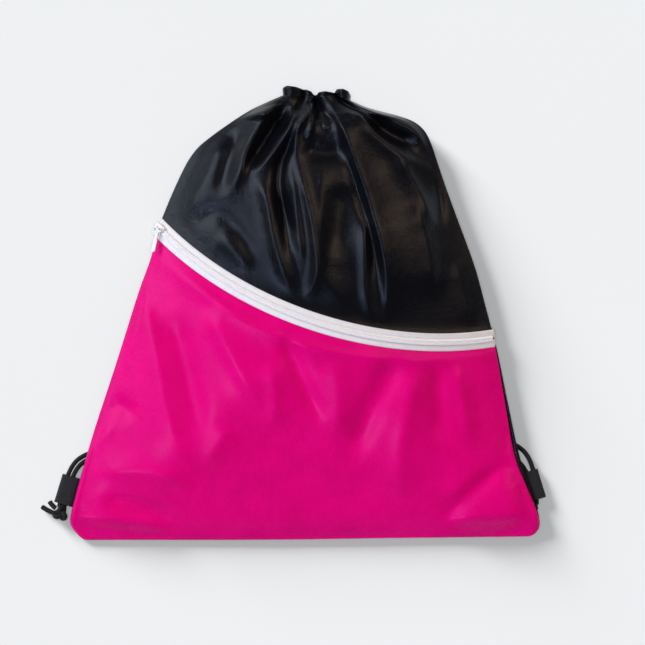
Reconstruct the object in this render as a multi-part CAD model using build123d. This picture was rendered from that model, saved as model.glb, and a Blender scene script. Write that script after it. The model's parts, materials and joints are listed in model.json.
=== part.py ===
"""Drawstring backpack lying on its back: a cinched cloth bag with a zipped front pocket.

Frame: X to the bag's right, Y towards the gathered neck, Z up from the floor, millimetres.
The origin is under the middle of the bag (without its cords), on the floor.
Cloth is modelled thicker than it is, so that it stays solid: see CLOTH.
"""
from build123d import *
import math
import os

# ---- driving dimensions -------------------------------------------------
CLOTH = 1.2            # modelled thickness of the polyester panels
TAPE_WIDTH = 13.5      # both zip tapes together, as they show between the panels
TAPE = 1.0             # thickness of a zip tape
SLOT = 1.2             # gap between the two tapes, where the slider's neck runs
COIL_WIDTH = 1.9       # one coil row, across the zip
COIL_HEIGHT = 1.5
ZIP_ROLL = 41.0        # tilt of the tapes about the zip's own line, degrees
ZIP_LEFT = Vector(-106.0, 64.7, 12.6)
ZIP_MIDDLE = Vector(0.0, -1.8, 42.6)
ZIP_RIGHT = Vector(146.1, -18.2, 11.6)
ZIP_OVERRUN = 4.0      # how far the tapes are made past both ends before they are trimmed, degrees
TAPE_END = 2.5         # how far the tapes wrap past the left side seam
SLIDER_LENGTH = 8.5
SLIDER_WIDTH = 6.8
SLIDER_PLATE = 1.0     # thickness of its two plates
SLIDER_NOTCH = (14.0, 17.0, 6.0)   # room for the closed slider in the back panel's seam
PULL_LENGTH = 19.0
PULL_LEAN = 55.0       # how far the pull tab hangs sideways from the zip, degrees
PULL_RISE = 4.0        # how far its free end is lifted off the cloth, degrees
PULL_HINGE = 3.5       # height of the pull's bar over the tapes
PULL_WIRE = 0.6
CORD = 3.5             # drawcord diameter
CORD_REST = 0.25       # clearance under a cord that lies on the floor
LOOP_WIDTH = 22.0      # webbing width, which is the length of the loop's tunnel
LOOP_REACH = 18.0      # how far the folded webbing stands out of the side seam
WEBBING = 1.2
LOOP_TUNNEL = 4.2      # inside height of the folded webbing
LOOP_SEAM = 3.0        # width of the sewn part of the loop
POCKET_DEPTH = 6.4     # from the pocket panel down to the lining behind it, at the crown
LINING_INSET = 10.0    # from the side seam's outside to the lining's edge
LINING_GAP = 0.4
BACK_LIFT = 6.0        # height of the back panel over the cords that lie under it
CHANNEL_START = 148.6  # where the panels end and the gathered hem channel starts
CHANNEL_LIFT = 7.2     # the channel's underside, over the cords that leave it
CHANNEL_SPLIT = (13.8, 14.2)       # top of the channel's back half, underside of its front half
CHANNEL_ROWS = [       # y, left, right and top of the gathered channel
    (CHANNEL_START, -46.0, 76.0, 30.0), (154.0, -32.0, 60.0, 28.5),
    (159.5, -17.0, 44.0, 27.0), (165.0, -11.0, 36.0, 24.0),
]
MOUTH_RADIUS = 5.6
MOUTH_WALL = 2.4
MOUTHS = {"left": (-5.2, 165.3, 14.4, 6.5), "right": (31.0, 165.3, 14.4, 5.0)}   # x, y, z, length
RING_PLACES = {"left": 155.5, "right": 161.0}   # each drawcord's turn round the channel

# Cross-sections from the bottom seam to the neck:
# y, left edge, right edge, edge height, crown height, height of the underside's rim
SECTIONS = [
    (-171.8, -162.0, 174.0, 2.8, 4.8, 0.0),
    (-164.0, -170.0, 178.5, 5.0, 10.0, 0.0),
    (-155.0, -172.0, 181.0, 11.5, 18.5, 7.4),
    (-108.0, -161.5, 163.0, 11.5, 35.0, 7.4),
    (-76.0, -152.0, 157.0, 10.8, 39.5, 0.0),
    (-20.0, -134.0, 148.5, 11.6, 42.6, 0.0),
    (50.0, -111.2, 127.5, 12.4, 42.0, 0.0),
    (100.0, -93.0, 109.0, 12.0, 38.0, 0.0),
    (124.0, -81.0, 100.5, 11.0, 34.5, 0.0),
    (138.0, -64.0, 96.5, 10.0, 32.0, 0.0),
    (CHANNEL_START - 0.4, -48.0, 80.0, 9.5, 30.0, 0.0),
]
SEAM_PEEK = 2.5        # how far the back panel shows past the front on the right

# The drawcords under the bag: each side has two strands of one cord, from the hem
# channel's mouth at the neck, through the webbing loop, to the knot at the bottom corner.
FLOOR = CORD / 2 + CORD_REST
LEFT_INNER = [
    (-3, 169, 5.8), (-4, 160, 3.0), (-8, 148, FLOOR), (-28, 128, FLOOR), (-54, 106, FLOOR),
    (-62, 76, FLOOR), (-40, 58, FLOOR), (-8, 46, FLOOR), (-1, 18, FLOOR), (-34, 0, FLOOR),
    (-70, 0, FLOOR), (-86, -22, FLOOR), (-72, -48, FLOOR), (-36, -54, FLOOR), (-14, -74, FLOOR),
    (-24, -104, FLOOR), (-56, -122, FLOOR), (-92, -118, FLOOR), (-122, -108, FLOOR),
    (-146, -106, FLOOR), (-163, -110.5, FLOOR), (-171, -118, 3.1), (-176, -134, 3.2),
    (-179.5, -147, 3.8),
]
LEFT_OUTER = [
    (-9, 169.5, 5.8), (-10.5, 160.5, 3.0), (-17, 149, FLOOR), (-38, 131, FLOOR),
    (-63, 110, FLOOR), (-73, 72, FLOOR), (-50, 49, FLOOR), (-24, 40, FLOOR), (-13, 28, FLOOR),
    (-18, 13, FLOOR), (-44, 8, FLOOR), (-76, 10, FLOOR), (-97, -22, FLOOR),
    (-82, -57, FLOOR), (-46, -64, FLOOR), (-26, -78, FLOOR), (-34, -98, FLOOR),
    (-60, -112, FLOOR), (-92, -107, FLOOR), (-120, -99, FLOOR), (-147, -102.2, FLOOR),
    (-164.6, -106.6, FLOOR), (-173.9, -115.0, 3.1), (-179.6, -132, 3.2), (-183, -146.5, 3.8),
]
RIGHT_INNER = [
    (28, 168, 5.8), (29, 159, 3.0), (32, 147, FLOOR), (48, 127, FLOOR), (70, 108, FLOOR),
    (80, 78, FLOOR), (56, 58, FLOOR), (24, 50, FLOOR), (12, 24, FLOOR), (36, 2, FLOOR),
    (74, 4, FLOOR), (98, -14, FLOOR), (92, -44, FLOOR), (56, -52, FLOOR), (24, -62, FLOOR),
    (20, -92, FLOOR), (48, -116, FLOOR), (88, -112, FLOOR), (120, -104, FLOOR),
    (146, -102, FLOOR), (161, -107.5, FLOOR), (170.5, -116, 3.1), (175.5, -130, 3.2),
    (175.5, -144, 3.6),
]
RIGHT_OUTER = [
    (34, 168, 5.8), (36, 159, 3.0), (42, 148, FLOOR), (59, 131, FLOOR), (81, 110, FLOOR),
    (91, 74, FLOOR), (64, 48, FLOOR), (36, 43, FLOOR), (25, 33, FLOOR), (30, 17, FLOOR),
    (52, 11, FLOOR), (78, 15, FLOOR), (109, -10, FLOOR), (102, -54, FLOOR),
    (62, -63, FLOOR), (36, -71, FLOOR), (33, -88, FLOOR), (54, -105, FLOOR), (90, -101, FLOOR), (122, -93, FLOOR),
    (150, -94, FLOOR), (166.5, -100, FLOOR), (174.8, -109.5, 3.0), (179.6, -128, 3.2),
    (179.6, -144.5, 3.6),
]
LEFT_TAILS = [
    [(-186.5, -151.0, 4.6), (-191.5, -149.5, 3.4), (-196.5, -146.0, 2.4)],
    [(-185.5, -147.2, 5.4), (-188.4, -145.2, 5.0), (-190.4, -142.0, 4.2)],
]
RIGHT_TAILS = [
    [(170.5, -151.5, 3.4), (165.0, -153.0, 2.6), (160.0, -150.5, 2.0)],
    [(170.5, -146.5, 3.4), (165.0, -144.0, 2.6), (161.0, -139.5, 2.0)],
]

# The two bottom corners: loop's middle, direction its fold points in, knot's middle, knot's
# flatness, the two strands that pass through the loop and their ends behind the knot.
CORNERS = {
    "left": ((-174.9, -134.3), 163.0, (-181.8, -151.2, 4.9), 0.8,
             (LEFT_INNER, LEFT_OUTER), LEFT_TAILS),
    "right": ((174.9, -130.6), 17.0, (175.6, -149.2, 3.8), 0.6,
              (RIGHT_INNER, RIGHT_OUTER), RIGHT_TAILS),
}


# ---- the bag's curved panels --------------------------------------------
def crescent(section, low, high):
    """The slice of a front panel at one height, between two distances over the front."""
    y, left, right, edge, crown, _ = section
    middle = (left + right) / 2
    over = ThreePointArc((left, y, edge + high), (middle, y, crown + high), (right, y, edge + high))
    under = ThreePointArc((right, y, edge + low), (middle, y, crown + low), (left, y, edge + low))
    ends = [Line(over @ 1, under @ 0), Line(under @ 1, over @ 0)]
    return Face(Wire([over, ends[0], under, ends[1]]))


def front_shell():
    return loft([crescent(section, -CLOTH, 0.0) for section in SECTIONS], ruled=True)


def lining_shell():
    """The lining hangs inside the front, its sides just under the front's own underside."""
    slices = []
    for y, left, right, edge, crown, rim in SECTIONS[2:]:
        half = (right - left) / 2
        share = 1 - ((half - LINING_INSET) / half) ** 2
        side = edge - CLOTH - LINING_GAP + share * (crown - edge)
        top = max(crown - POCKET_DEPTH, side + 0.2)
        slices.append(crescent((y, left + LINING_INSET, right - LINING_INSET, side, top, rim), -CLOTH, 0.0))
    return loft(slices, ruled=True)


def underside(section):
    """The slice of the back panel: rim on the floor, lifted middle, edge at the side seam."""
    y, left, right, edge, crown, rim = section
    right += SEAM_PEEK
    width = right - left
    edge -= CLOTH + 0.3
    lift = max(rim, min(BACK_LIFT, (crown - 4.0) * 0.4))
    lower = [
        (left, edge - CLOTH), (left + 0.03 * width, rim), (left + 0.06 * width, rim),
        (left + 0.12 * width, lift), (right - 0.12 * width, lift),
        (right - 0.06 * width, rim), (right - 0.03 * width, rim), (right, edge - CLOTH),
    ]
    outline = lower + [(x, z + CLOTH) for x, z in reversed(lower)]
    return Face(Wire.make_polygon([Vector(x, y, z) for x, z in outline]))


def back_panel():
    """The back panel, with its seam let in round the closed zip's slider."""
    panel = loft([underside(section) for section in SECTIONS], ruled=True)
    return panel - Pos(ZIP_LEFT.X - 1, ZIP_LEFT.Y, 10.5) * Box(*SLIDER_NOTCH)


# ---- the zip ------------------------------------------------------------
def circle_through(a, b, c):
    """Centre and unit normal of the circle through three points, normal pointing up."""
    ab, ac = b - a, c - a
    normal = ab.cross(ac)
    to_centre = (normal.cross(ab) * ac.dot(ac) + ac.cross(normal) * ab.dot(ab)) / (2 * normal.dot(normal))
    normal = normal.normalized()
    return a + to_centre, normal if normal.Z > 0 else -normal


ZIP_CENTRE, ZIP_NORMAL = circle_through(ZIP_LEFT, ZIP_MIDDLE, ZIP_RIGHT)
ZIP_AXIS = Axis(ZIP_CENTRE, ZIP_NORMAL)
ZIP_SWEEP = (ZIP_LEFT - ZIP_CENTRE).get_angle(ZIP_RIGHT - ZIP_CENTRE)


def zip_plane():
    """Plane across the zip at its left end: X across it, Y out of the cloth, Z along it."""
    radial = (ZIP_LEFT - ZIP_CENTRE).normalized()
    roll = math.radians(ZIP_ROLL)
    outward = radial * math.cos(roll) + ZIP_NORMAL * math.sin(roll)
    along = ZIP_NORMAL.cross(radial)
    return Plane(origin=ZIP_LEFT, x_dir=outward.cross(along), z_dir=along)


def along_zip(shape, degrees):
    """Place a shape made about the origin on the zip, that many degrees from its left end."""
    return (zip_plane().location * shape).rotate(ZIP_AXIS, degrees)


def zip_band(across, outward, width, height, first, last):
    """A strip along the zip: its middle across and outward, its size, and its two end angles."""
    profile = zip_plane() * Pos(across, outward) * Rectangle(width, height)
    return revolve(profile, axis=ZIP_AXIS, revolution_arc=last - first).rotate(ZIP_AXIS, first)


def zip_parts():
    first, last = -ZIP_OVERRUN, ZIP_SWEEP + ZIP_OVERRUN
    tape_width = (TAPE_WIDTH - SLOT) / 2
    tape_place = (SLOT + tape_width) / 2
    coil_place = (0.9 + COIL_WIDTH) / 2
    keep = seam_prism()
    parts = {}
    for name, side in (("upper", 1), ("lower", -1)):
        tape = zip_band(side * tape_place, -TAPE / 2, tape_width, TAPE, first, last)
        parts[f"zipper_tape_{name}"] = tape & keep
        parts[f"zipper_coil_{name}"] = zip_band(
            side * coil_place, COIL_HEIGHT / 2, COIL_WIDTH, COIL_HEIGHT, -0.6, ZIP_SWEEP - 0.2)
    return parts


def seam_prism():
    """A tall prism over the bag's outline, to end the tapes at the side seams."""
    left = [Vector(s[1] - TAPE_END, s[0], 0) for s in SECTIONS]
    right = [Vector(s[2] - 0.6, s[0], 0) for s in reversed(SECTIONS)]
    return extrude(Face(Wire.make_polygon(left + right)), amount=70, dir=(0, 0, 1))


def zipper_slider():
    """Two plates joined by a neck in the slot, side flanges, and the arch that holds the pull."""
    plate = Box(SLIDER_WIDTH, SLIDER_PLATE, SLIDER_LENGTH)
    body = Pos(0, 2.4, 0) * plate + Pos(0, -1.95, 0) * plate
    body += Pos(0, 0.2, 0) * Box(0.6, 4.0, 3.0)
    for side in (1, -1):
        body += Pos(side * (SLIDER_WIDTH / 2 - 0.3), 1.35, 0) * Box(0.6, 1.6, SLIDER_LENGTH)
    arch = Box(0.8, 2.2, 4.6) - Pos(0, -0.6, 0) * Box(2.0, 1.4, 3.0)
    return along_zip(body + Pos(0, 3.9, 0) * arch, 0)


def zipper_pull_tab():
    """A slim tab whose wire ring goes round the arch's leg, its bar under the arch."""
    ring = Box(6.6, PULL_WIRE, 4.2) - Box(5.2, 1, 4.2 - 2 * PULL_WIRE)
    ring = Pos(0, 0, 2.1 - PULL_WIRE / 2) * ring
    stem = Pos(0, 0, 3.6 + (PULL_LENGTH - 3.6) / 2) * Box(2.2, PULL_WIRE, PULL_LENGTH - 3.6)
    grip = Pos(0, 0, PULL_LENGTH - 5) * Box(3.2, 1.1, 10.0)
    tab = Rot(0, -PULL_LEAN, 0) * Rot(-PULL_RISE, 0, 0) * (ring + stem + grip)
    return along_zip(Pos(0, PULL_HINGE, 0) * tab, 0)


# ---- the gathered neck --------------------------------------------------
def neck_slice(y, left, right, low, high):
    corner = min(high - low, right - left) * 0.42
    face = Plane(origin=(0, y, 0), x_dir=(1, 0, 0), z_dir=(0, -1, 0))
    return face * Pos((left + right) / 2, (low + high) / 2) * RectangleRounded(
        right - left, high - low, corner)


def hem_channels():
    """The gathered hem channel, one half on each panel, with bores for the drawcords."""
    split_back, split_front = CHANNEL_SPLIT
    front = loft([neck_slice(y, a, b, split_front, top) for y, a, b, top in CHANNEL_ROWS], ruled=True)
    back = loft([neck_slice(y, a, b, CHANNEL_LIFT, split_back) for y, a, b, _ in CHANNEL_ROWS], ruled=True)
    return front, back


def channel_ring(y, diameter):
    """One drawcord's turn round the cinched channel."""
    corners = [(-4.0, y, 10.6), (29.0, y, 10.6), (29.0, y, 18.4), (-4.0, y, 18.4)]
    path = FilletPolyline(*corners, radius=3.6, close=True)
    return sweep(Plane(origin=path @ 0.0, z_dir=path % 0.0) * Circle(diameter / 2), path=path)


def channel_mouth(x, y, z, length):
    """The end of the hem channel that stands up beside the neck, a short cloth tube."""
    tube = Cylinder(MOUTH_RADIUS, length) - Cylinder(MOUTH_RADIUS - MOUTH_WALL, length + 1)
    return Pos(x, y + length / 2, z) * Rot(90, 0, 0) * tube


# ---- cords, loops and knots ---------------------------------------------
def cord_path(points):
    """Straight runs joined by arcs, each as large as its two runs allow."""
    radii = []
    for a, b, c in zip(points, points[1:], points[2:]):
        turn = (b - a).get_angle(c - b)
        run = min((b - a).length, (c - b).length)
        radii.append(0.45 * run / math.tan(math.radians(turn) / 2))
    return FilletPolyline(*points, radius=radii), radii


def cord_tube(name, points):
    path, radii = cord_path(points)
    tube = sweep(Plane(origin=path @ 0, z_dir=path % 0) * Circle(CORD / 2), path=path)
    share = tube.volume / (math.pi * CORD ** 2 / 4 * path.length)
    print(f"{name}: {path.length:.0f} mm, radii {[round(r) for r in radii]}, volume share {share:.3f}")
    return tube


def webbing_loop(heading):
    """Folded webbing, its fold towards +X and its tunnel along Y, before it is placed."""
    outer = Box(LOOP_REACH, LOOP_WIDTH, LOOP_TUNNEL + 2 * WEBBING)
    fold = outer.edges().filter_by(Axis.Y).sort_by(Axis.X)[-2:]
    tunnel = Box(LOOP_REACH - WEBBING - LOOP_SEAM, LOOP_WIDTH + 1, LOOP_TUNNEL)
    loop = fillet(fold, 2.0) - Pos((LOOP_SEAM - WEBBING) / 2, 0, 0) * tunnel
    return Rot(0, 0, heading) * loop


def loop_stitching(heading):
    """Two rows of thread that close the webbing beside the side seam."""
    height = LOOP_TUNNEL / 2 + WEBBING
    row = Box(0.8, LOOP_WIDTH - 3, 0.5)
    rows = [Pos(-LOOP_REACH / 2 + inset, 0, height + 0.25) * row for inset in (1.0, 2.4)]
    return Rot(0, 0, heading) * Compound(children=rows)


def knot(heading, flatness):
    """Overhand knot drawn tight in both strands."""
    body = Sphere(5.2) + Rot(0, 55, 0) * Torus(3.9, CORD / 2) + Rot(40, 0, 0) * Torus(3.9, CORD / 2)
    return Rot(0, 0, heading) * scale(body, by=(1.0, 1.1, flatness))


# ---- the parts ----------------------------------------------------------
def panels():
    opening = zip_band(0, -0.4, TAPE_WIDTH, 9.0, -12, ZIP_SWEEP + 12)
    pieces = (front_shell() - opening).solids().sort_by(Axis.Y)
    above_zip = zip_band(20.0, -8.0, TAPE_WIDTH + 40, 30.0, -14, ZIP_SWEEP + 14)
    lining = (lining_shell() - above_zip).solids().sort_by(Axis.Y)
    return {
        "pocket_panel": pieces[0],
        "front_upper_panel": pieces[-1],
        "pocket_lining": lining[0],
        "back_panel": back_panel(),
    }


def neck():
    front, back = hem_channels()
    parts = {}
    for side, y in RING_PLACES.items():
        bore = channel_ring(y, CORD + 0.3)
        front, back = front - bore, back - bore
        parts[f"drawcord_{side}_in_channel"] = channel_ring(y, CORD)
        parts[f"channel_mouth_{side}"] = channel_mouth(*MOUTHS[side])
    parts["hem_channel_front"] = front
    parts["hem_channel_back"] = back
    return parts


def corner(side, place, heading, knot_place, flatness, strands, tails):
    """Everything at one bottom corner, with the two cord strands that lead to it."""
    x, y = place
    height = LOOP_TUNNEL / 2 + WEBBING
    parts = {
        f"webbing_loop_{side}": Pos(x, y, height) * webbing_loop(heading),
        f"loop_stitching_{side}": Pos(x, y, height) * loop_stitching(heading),
        f"knot_{side}": Pos(*knot_place) * knot(heading, flatness),
    }
    for name, route in zip(("inner", "outer"), strands):
        node = f"drawcord_{side}_{name}_strand"
        parts[node] = cord_tube(node, [Vector(*p) for p in route])
    ends = [cord_tube(f"cord_ends_{side}", [Vector(*p) for p in tail]) for tail in tails]
    parts[f"cord_ends_{side}"] = Compound(children=ends)
    return parts


def build():
    parts = panels()
    parts.update(zip_parts())
    parts["zipper_slider"] = zipper_slider()
    parts["zipper_pull_tab"] = zipper_pull_tab()
    parts.update(neck())
    for side, details in CORNERS.items():
        parts.update(corner(side, *details))
    return parts


os.makedirs("parts", exist_ok=True)
for node, shape in build().items():
    export_step(shape, f"parts/{node}.step")
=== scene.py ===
"""Drawstring backpack on a pale floor: cloth, zip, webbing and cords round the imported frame."""
import json
import math

import bmesh
import bpy
import numpy as np
from mathutils import Matrix, Vector
from mathutils.bvhtree import BVHTree

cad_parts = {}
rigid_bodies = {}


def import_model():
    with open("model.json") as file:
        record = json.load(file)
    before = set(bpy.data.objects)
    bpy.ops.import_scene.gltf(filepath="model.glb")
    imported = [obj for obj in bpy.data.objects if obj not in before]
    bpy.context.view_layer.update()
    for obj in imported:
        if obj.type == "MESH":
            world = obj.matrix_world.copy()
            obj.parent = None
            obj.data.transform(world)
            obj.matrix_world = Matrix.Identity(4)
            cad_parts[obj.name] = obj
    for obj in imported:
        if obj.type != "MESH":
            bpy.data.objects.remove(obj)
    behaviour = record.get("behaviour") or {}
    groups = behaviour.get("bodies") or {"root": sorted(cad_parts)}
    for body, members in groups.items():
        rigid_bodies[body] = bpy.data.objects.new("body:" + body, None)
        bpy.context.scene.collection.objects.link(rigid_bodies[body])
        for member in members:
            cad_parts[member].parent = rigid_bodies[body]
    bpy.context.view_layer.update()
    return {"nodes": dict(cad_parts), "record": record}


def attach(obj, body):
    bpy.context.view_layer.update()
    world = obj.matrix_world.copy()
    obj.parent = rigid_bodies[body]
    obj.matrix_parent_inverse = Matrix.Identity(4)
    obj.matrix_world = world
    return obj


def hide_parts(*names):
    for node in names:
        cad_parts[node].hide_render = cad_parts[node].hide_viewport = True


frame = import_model()
MM = 0.001

# ---- sizes that repeat the part's own, in metres ---------------------------
ZIP_START = np.array([-0.106, 0.0647, 0.0126])
ZIP_SWEEP = math.radians(71.94)
ZIP_ROLL = math.radians(41.0)
TAPE_EDGE = 6.75 * MM
CORD = 3.5 * MM

# The bag's outline in mm, from the bottom corners up to the neck, as it is seen from the front.
LEFT_SIDE = [(-163, -171.6), (-166.5, -170.3), (-175.2, -160.2), (-174.4, -153), (-166.6, -124),
             (-156.2, -88), (-143.4, -50), (-133.5, -19), (-121.4, 20), (-113.6, 40), (-110.5, 52),
             (-107.0, 67), (-92.4, 102), (-81, 123.4), (-66.6, 135.5), (-40, 153.7), (-22.7, 161.5),
             (-17.9, 163.4), (-13.0, 165.8)]
RIGHT_SIDE = [(174, -168.8), (178.5, -167), (182.6, -161), (180.2, -150), (171.5, -129.5), (162.2, -108),
              (155.6, -68), (148.4, -26), (144.6, -11.4), (135.5, 26.5), (128.7, 47), (115.8, 81),
              (106.7, 106.7), (97.7, 135), (90, 144.0), (79.5, 149), (53.5, 155.5), (44.9, 158.6),
              (38.2, 162)]

joints = {j["name"]: j for j in frame["record"]["behaviour"]["joints"]}


def unit(v):
    return v / np.linalg.norm(v, axis=-1, keepdims=True)


# ---- the zip's own line -------------------------------------------------------
ZIP_CENTRE = np.array(joints["zip_travel"]["pos_m"])
ZIP_NORMAL = unit(np.array(joints["zip_travel"]["axis"]))


def zip_frames(angles):
    """Origin, across (towards the neck), outward and along directions at angles along the zip."""
    angles = np.atleast_1d(angles)[:, None]
    arm = ZIP_START - ZIP_CENTRE
    side = np.cross(ZIP_NORMAL, arm)
    turned = arm * np.cos(angles) + side * np.sin(angles)
    radial = unit(turned)
    outward = radial * math.cos(ZIP_ROLL) + ZIP_NORMAL * math.sin(ZIP_ROLL)
    forward = np.cross(ZIP_NORMAL, radial)
    return ZIP_CENTRE + turned, np.cross(outward, forward), outward, forward


def zip_points(angles, across, outward):
    origin, u, v, _ = zip_frames(angles)
    across, outward = np.broadcast_to(across, len(origin)), np.broadcast_to(outward, len(origin))
    return origin + u * across[:, None] + v * outward[:, None]


# ---- mesh helpers ---------------------------------------------------------------
def link(obj):
    bpy.context.scene.collection.objects.link(obj)
    return obj


def mesh_object(name, vertices, faces, smooth=True):
    mesh = bpy.data.meshes.new(name)
    mesh.from_pydata([tuple(v) for v in vertices], [], [tuple(f) for f in faces])
    mesh.update()
    if smooth:
        mesh.polygons.foreach_set("use_smooth", [True] * len(mesh.polygons))
    return link(bpy.data.objects.new(name, mesh))


def grid_faces(rows, columns, closed=False):
    faces = []
    for j in range(rows - 1):
        for i in range(columns if closed else columns - 1):
            k = (i + 1) % columns
            faces.append((j * columns + i, j * columns + k, (j + 1) * columns + k, (j + 1) * columns + i))
    return faces


def grid_object(name, points, closed=False):
    rows, columns = points.shape[:2]
    return mesh_object(name, points.reshape(-1, 3), grid_faces(rows, columns, closed))


def capped(obj):
    """Close a tube's open ends."""
    bm = bmesh.new()
    bm.from_mesh(obj.data)
    bmesh.ops.holes_fill(bm, edges=[e for e in bm.edges if e.is_boundary], sides=0)
    bmesh.ops.recalc_face_normals(bm, faces=bm.faces)
    bm.to_mesh(obj.data)
    bm.free()
    return obj


def resample(points, count, rounds=3):
    """Evenly spaced points on a polyline whose corners are first rounded."""
    p = np.array(points, float)
    for _ in range(rounds):
        q = np.empty((2 * len(p), p.shape[1]))
        q[0], q[-1] = p[0], p[-1]
        q[1:-1:2] = 0.75 * p[:-1] + 0.25 * p[1:]
        q[2::2] = 0.25 * p[:-1] + 0.75 * p[1:]
        p = q
    steps = np.r_[0, np.cumsum(np.linalg.norm(np.diff(p, axis=0), axis=1))]
    at = np.linspace(0, steps[-1], count)
    return np.stack([np.interp(at, steps, p[:, k]) for k in range(p.shape[1])], axis=1)


def coons(bottom, top, left, right):
    """A patch that spans four boundary curves."""
    s = np.linspace(0, 1, len(bottom))[None, :, None]
    t = np.linspace(0, 1, len(left))[:, None, None]
    corners = ((1 - s) * (1 - t) * bottom[0] + s * (1 - t) * bottom[-1]
               + (1 - s) * t * top[0] + s * t * top[-1])
    return ((1 - t) * bottom[None] + t * top[None] + (1 - s) * left[:, None] + s * right[:, None]
            - corners)


def modifier(obj, kind, **values):
    made = obj.modifiers.new(kind.title(), kind)
    for key, value in values.items():
        setattr(made, key, value)
    return made


def baked(obj):
    """The object with its modifiers applied to its mesh."""
    depsgraph = bpy.context.evaluated_depsgraph_get()
    mesh = bpy.data.meshes.new_from_object(obj.evaluated_get(depsgraph))
    if obj.data.shape_keys:
        obj.shape_key_clear()
    obj.modifiers.clear()
    obj.data = mesh
    return obj


# ---- the front's height -----------------------------------------------------------
def tree_of(names):
    vertices, faces = [], []
    for name in names:
        mesh = frame["nodes"][name].data
        start = len(vertices)
        vertices += [v.co.copy() for v in mesh.vertices]
        faces += [[start + i for i in p.vertices] for p in mesh.polygons]
    return BVHTree.FromPolygons(vertices, faces)


FRONT = tree_of(["pocket_panel", "front_upper_panel", "zipper_tape_upper", "zipper_tape_lower",
                 "hem_channel_front"])


def front_height(points):
    """Each point's height on the CAD front, or its own where the front has ended."""
    flat = points.reshape(-1, 3)
    heights = []
    for x, y, z in flat:
        hit = FRONT.ray_cast(Vector((x, y, 0.2)), Vector((0, 0, -1)))[0]
        heights.append(hit.z if hit is not None else z)
    return np.array(heights).reshape(points.shape[:-1])


def soft_front(points):
    """The front's height, eased down to a steady slope above the bottom seam."""
    ramp = np.interp(points[..., 1] / MM, [-171.8, -155, -108, -60, 0, 50], [6, 13.5, 27, 38, 50, 60]) * MM
    soft = 1.2 * MM
    return -soft * np.log(np.exp(-front_height(points) / soft) + np.exp(-ramp / soft))


def smooth_rows(values, rounds):
    """Average each value with its neighbours, keeping the border."""
    v = values.copy()
    for _ in range(rounds):
        v[1:-1, 1:-1] = 0.5 * v[1:-1, 1:-1] + 0.125 * (
            v[:-2, 1:-1] + v[2:, 1:-1] + v[1:-1, :-2] + v[1:-1, 2:])
    return v


# ---- cloth -------------------------------------------------------------------------
HOLD = 0.35             # how firmly the cloth keeps its made folds while it settles
SETTLE_FRAMES = 10
CLOTH_THICK = 0.5 * MM


def drape(obj, start, slack):
    """Let the cloth settle on the mound, cut larger than it is made and held along its rim."""
    rows, columns = start.shape[:2]
    middle = start.mean(axis=(0, 1))
    obj.shape_key_add(name="Basis")
    cut = obj.shape_key_add(name="cut")
    cut.data.foreach_set("co", (middle + (start - middle) * slack).ravel())
    pins = obj.vertex_groups.new(name="pins")
    places = np.arange(rows * columns).reshape(rows, columns)
    rim = np.ones((rows, columns), bool)
    rim[1:-1, 1:-1] = False
    pins.add(places[~rim].tolist(), HOLD, "REPLACE")
    pins.add(places[rim].tolist(), 1.0, "REPLACE")
    mound = inner_body()
    modifier(mound, "COLLISION")
    mound.collision.thickness_outer = 0.0008
    mound.collision.cloth_friction = 8
    cloth = modifier(obj, "CLOTH")
    s = cloth.settings
    s.quality = 6
    s.mass = 0.12
    s.tension_stiffness = s.compression_stiffness = 12
    s.shear_stiffness = 4
    s.bending_stiffness = 1.5
    s.tension_damping = s.compression_damping = 8
    s.shear_damping = 6
    s.bending_damping = 0.4
    s.air_damping = 3
    s.vertex_group_mass = "pins"
    s.rest_shape_key = cut
    cloth.collision_settings.distance_min = 0.0012
    cloth.collision_settings.use_self_collision = False
    cloth.point_cache.frame_start, cloth.point_cache.frame_end = 1, SETTLE_FRAMES
    for frame_number in range(1, SETTLE_FRAMES + 1):
        bpy.context.scene.frame_set(frame_number)
    baked(obj)
    mound.modifiers.clear()
    bpy.context.scene.frame_set(1)


def settled(name, start, slack):
    """A cloth made over a grid: settled, then given its thickness."""
    obj = grid_object(name, start)
    drape(obj, start, slack)
    modifier(obj, "SUBSURF", levels=1, render_levels=1)
    modifier(obj, "SOLIDIFY", thickness=CLOTH_THICK, offset=-1.0, use_even_offset=False)
    return baked(obj)


# ---- panels ------------------------------------------------------------------------
def read(table, at):
    """A table of (place, value) in mm, read at places in metres."""
    return np.interp(at, *(np.array(table).T * MM))


def side_curve(points, first, last, count):
    """Part of a side outline, between two places along Y, with its heights."""
    curve = resample(points, 600, rounds=2) * MM
    start = np.argmin(np.abs(curve[:, 1] - first))
    end = np.argmin(np.abs(curve[:, 1] - last))
    part = resample(curve[start:end + 1], count, rounds=0)
    return np.c_[part, read(SIDE_HEIGHTS, part[:, 1])]


# Height of the side seams at each place along Y.
SIDE_HEIGHTS = [(-172, 2.6), (-160, 5.0), (-150, 9.0), (60, 11.5), (120, 11.5), (150, 12.0), (163, 15.0)]
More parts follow.
